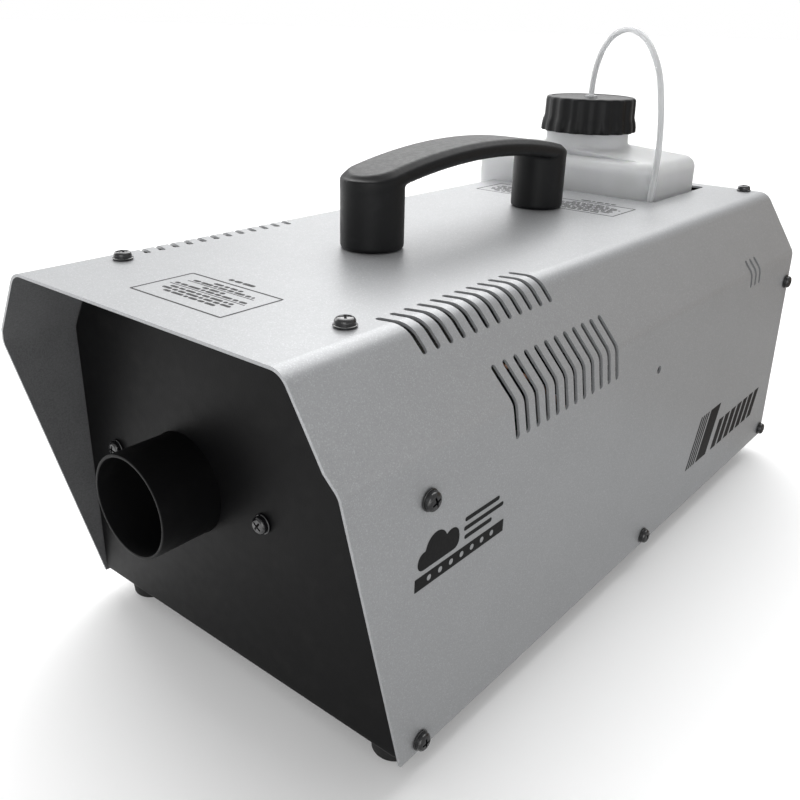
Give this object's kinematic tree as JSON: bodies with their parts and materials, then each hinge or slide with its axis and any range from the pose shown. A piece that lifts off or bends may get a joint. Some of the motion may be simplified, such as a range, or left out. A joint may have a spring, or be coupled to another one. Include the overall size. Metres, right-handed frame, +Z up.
{
  "type": "fog machine",
  "caption": "Portable fog machine: bent metal housing with a hooded fog outlet, top handle, side vents and a lift-out fluid bottle with screw cap and feed hose.",
  "frame": {"origin": "on the surface that the feet stand on, under the middle of the machine without its hose", "axes": "+Z up, +Y towards the rear panel, so the outlet blows towards -Y, +X to the right as seen from the front"},
  "size_m": [0.1996, 0.427, 0.2682],
  "materials": {
    "powder_grey": "fine textured powder coat with a metallic silver fleck",
    "satin_black_metal": "satin powder coat",
    "black_plastic": "satin moulded plastic",
    "black_screw": "black zinc",
    "bare_steel": "bright rolled sheet",
    "bare_aluminium": "as cast",
    "brass_fitting": "turned",
    "copper_pipe": "drawn copper",
    "rubber_black": "matt moulded rubber",
    "bottle_plastic": "translucent blow-moulded polyethylene",
    "clear_hose": "clear flexible tube",
    "insulation": "woven glass heat blanket",
    "ivory_plastic": "moulded",
    "board_green": "solder resist"
  },
  "bodies": {
    "machine": {"cover": "powder_grey", "base_tray": "satin_black_metal", "front_panel": "satin_black_metal", "rear_panel": "satin_black_metal", "nozzle_shroud": "satin_black_metal", "handle": "black_plastic", "mains_inlet": "black_plastic", "fuse_holder": "black_plastic", "remote_socket": "black_plastic", "rocker_bezel": "black_plastic", "side_screw_upper_front_left": "black_screw", "side_screw_upper_front_right": "black_screw", "side_screw_upper_rear_left": "black_screw", "side_screw_upper_rear_right": "black_screw", "side_screw_lower_front_left": "black_screw", "side_screw_lower_front_right": "black_screw", "side_screw_lower_middle_left": "black_screw", "side_screw_lower_middle_right": "black_screw", "side_screw_lower_rear_left": "black_screw", "side_screw_lower_rear_right": "black_screw", "top_screw_front_left": "black_screw", "top_screw_front_right": "black_screw", "top_screw_rear_left": "black_screw", "top_screw_rear_right": "black_screw", "outlet_screw_left": "black_screw", "outlet_screw_right": "black_screw", "handle_screw_front": "black_screw", "handle_screw_rear": "black_screw", "tank_well": "bare_steel", "heater_bracket_front": "bare_steel", "heater_bracket_rear": "bare_steel", "pump_body": "bare_steel", "pump_bracket": "bare_steel", "transformer": "bare_steel", "heater_block": "bare_aluminium", "thermostat": "bare_aluminium", "thermal_cutout": "bare_aluminium", "nozzle_jet": "brass_fitting", "pressure_pipe": "copper_pipe", "foot_front_left": "rubber_black", "foot_front_right": "rubber_black", "foot_rear_left": "rubber_black", "foot_rear_right": "rubber_black", "hose_grommet": "rubber_black", "suction_hose": "clear_hose", "heater_jacket": "insulation", "board_carrier": "ivory_plastic", "relay": "ivory_plastic", "control_board": "board_green", "terminal_block": "board_green"},
    "bottle": {"bottle": "bottle_plastic"},
    "cap_carrier": {"cap_gland": "clear_hose", "fluid_tube": "clear_hose", "dip_tube": "clear_hose", "pickup_filter": "brass_fitting"},
    "cap": {"bottle_cap": "black_plastic"},
    "rocker": {"rocker": "black_plastic"},
    "fuse_cap": {"fuse_cap": "black_plastic"},
    "pump_plunger": {"pump_plunger": "bare_steel"}
  },
  "joints": [
    {"name": "bottle_lift", "type": "slide", "parent": "machine", "child": "bottle", "axis": [0, 0, 1], "range_m": [0, 0.11]},
    {"name": "cap_rise", "type": "slide", "parent": "bottle", "child": "cap_carrier", "axis": [0, 0, 1], "range_m": [0, 0.0061]},
    {"name": "cap_turn", "type": "hinge", "parent": "cap_carrier", "child": "cap", "pos_m": [-0.0273, 0.1485, 0.2072], "axis": [0, 0, 1], "range_deg": [0, 540]},
    {"name": "rocker_tip", "type": "hinge", "parent": "machine", "child": "rocker", "pos_m": [0.06, 0.20393, 0.04468], "axis": [1, 0, 0], "range_deg": [-18, 0]},
    {"name": "fuse_cap_turn", "type": "hinge", "parent": "machine", "child": "fuse_cap", "pos_m": [-0.01, 0.20792, 0.045], "axis": [0, 0.9968, 0.0797], "range_deg": [0, 90]},
    {"name": "plunger_stroke", "type": "slide", "parent": "machine", "child": "pump_plunger", "axis": [0, 1, 0], "range_m": [0, 0.003], "stiffness_N_per_m": 300}
  ],
  "couplings": [
    {"joint": "cap_rise", "follows": "cap_turn", "m_per_rad": 0.00063662}
  ]
}
